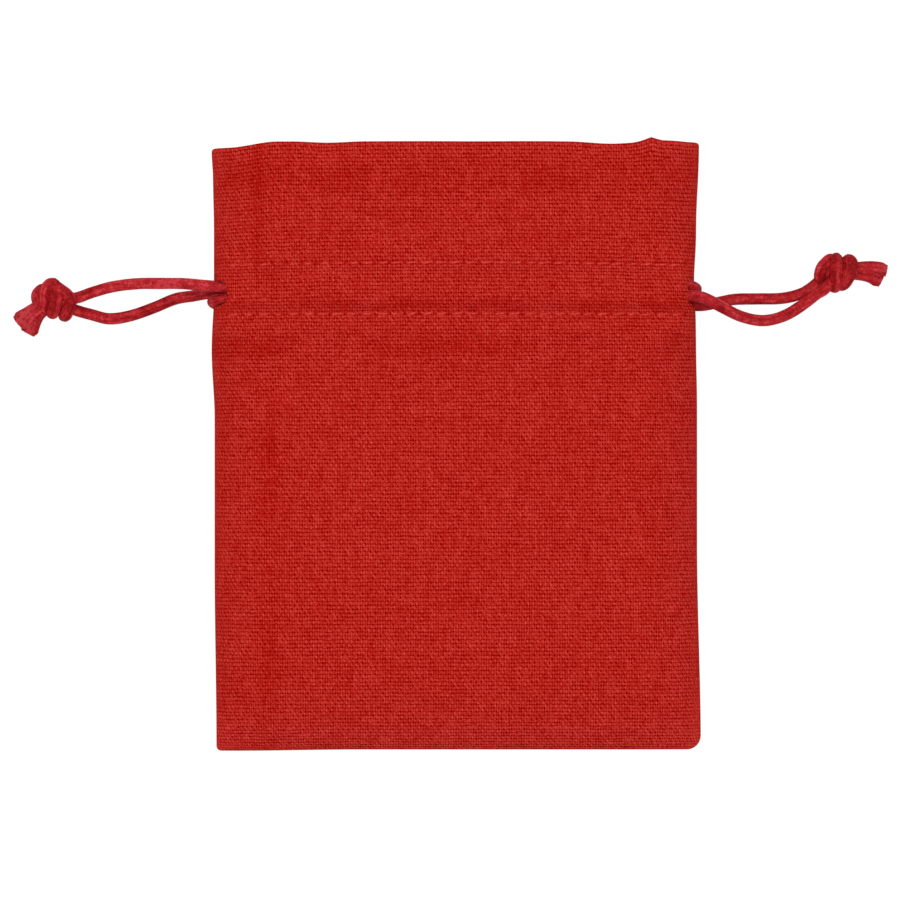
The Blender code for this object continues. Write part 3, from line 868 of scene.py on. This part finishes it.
random.seed(41)
bm = bmesh.new()
count = round((POUCH_WIDTH - 4 * MM) / STITCH_PITCH)
for row_y in (UPPER_ROW, LOWER_ROW):
    for is_front in (True, False):
        for number in range(count):
            x = (number - (count - 1) / 2) * STITCH_PITCH + random.uniform(-0.10, 0.10) * MM
            spot = wall_point(x, row_y, 0.0, is_front)
            beyond = wall_point(x + 0.2 * MM, row_y, 0.0, is_front)
            size = STITCH_LENGTH * random.uniform(0.90, 1.06) / 2
            start, stop = STITCHES_SHOW[row_y]
            showing = share(start - 0.006, start + 0.004, x) * (1 - share(stop - 0.004, stop + 0.006, x))
            lift = (0.10 * showing - 0.03) * MM + random.uniform(-0.05, 0.04) * MM if is_front else 0.0
            slant = math.atan2(beyond.z - spot.z, beyond.x - spot.x)
            made = bmesh.ops.create_uvsphere(bm, u_segments=8, v_segments=7, radius=1.0)["verts"]
            shape = Matrix.Translation(spot + Vector((0, 0, lift)))
            shape @= Matrix.Rotation(-slant, 4, "Y") @ Matrix.Rotation(random.uniform(0.02, 0.16), 4, "Z")
            shape @= Matrix.Diagonal((size, THREAD_RADIUS, 0.7 * THREAD_RADIUS, 1))
            shape @= Matrix.Rotation(math.pi / 2, 4, "Y")
            bmesh.ops.transform(bm, matrix=shape, verts=made)
stitches = finished(bm, "casing_stitches", thread)
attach(stitches, "root")

# Floor and light
# The pouch lies on a plain white table under a wide soft light from almost straight above. Most of what the
# camera sees of the table is an even glow, so that it shows as clean white with a faint shadow.
TABLE_REACH = 3.0
TABLE_CLEARANCE = 0.02 * MM
TABLE_WHITE = (0.80, 0.80, 0.80)
TABLE_GLOW = 1.12
GLOW_SHARE = 0.84
ROOM_LIGHT = 0.645
WINDOW_PLACE = Vector((-0.09, 0.17, 0.98))
WINDOW_SIZE = 0.40
WINDOW_WATTS = 4.0

bm = bmesh.new()
bmesh.ops.create_grid(bm, x_segments=1, y_segments=1, size=TABLE_REACH)
bmesh.ops.translate(bm, vec=(0, 0, -TABLE_CLEARANCE), verts=bm.verts)
table = Finish("plain_white_table")
table.shader.inputs["Base Color"].default_value = (*TABLE_WHITE, 1.0)
table.shader.inputs["Roughness"].default_value = 0.9
skin = Reading(table, table.shader.outputs["BSDF"])
glow = table.add("ShaderNodeEmission", {}, {"Color": (1, 1, 1, 1), "Strength": TABLE_GLOW})
seen = table.add("ShaderNodeLightPath", {}, {}, "Is Camera Ray")
mirrored = table.add("ShaderNodeLightPath", {}, {}, "Is Glossy Ray")
lifted = table.add("ShaderNodeMixShader", {}, {0: (seen + mirrored) * GLOW_SHARE, 1: skin, 2: glow})
table.feed(table.tree.nodes["Material Output"].inputs["Surface"], lifted)
table_top = finished(bm, "table_top", table)

world = bpy.data.worlds.new("soft_room")
world.use_nodes = True
room = world.node_tree.nodes["Background"]
room.inputs["Color"].default_value = (1.0, 1.0, 1.0, 1.0)
room.inputs["Strength"].default_value = ROOM_LIGHT
scene.world = world

window_data = bpy.data.lights.new("window_light", "AREA")
window_data.shape = "DISK"
window_data.size = WINDOW_SIZE
window_data.energy = WINDOW_WATTS
window = bpy.data.objects.new("window_light", window_data)
window.location = WINDOW_PLACE
window.rotation_mode = "QUATERNION"
window.rotation_quaternion = (-WINDOW_PLACE).to_track_quat("-Z", "Y")
scene.collection.objects.link(window)
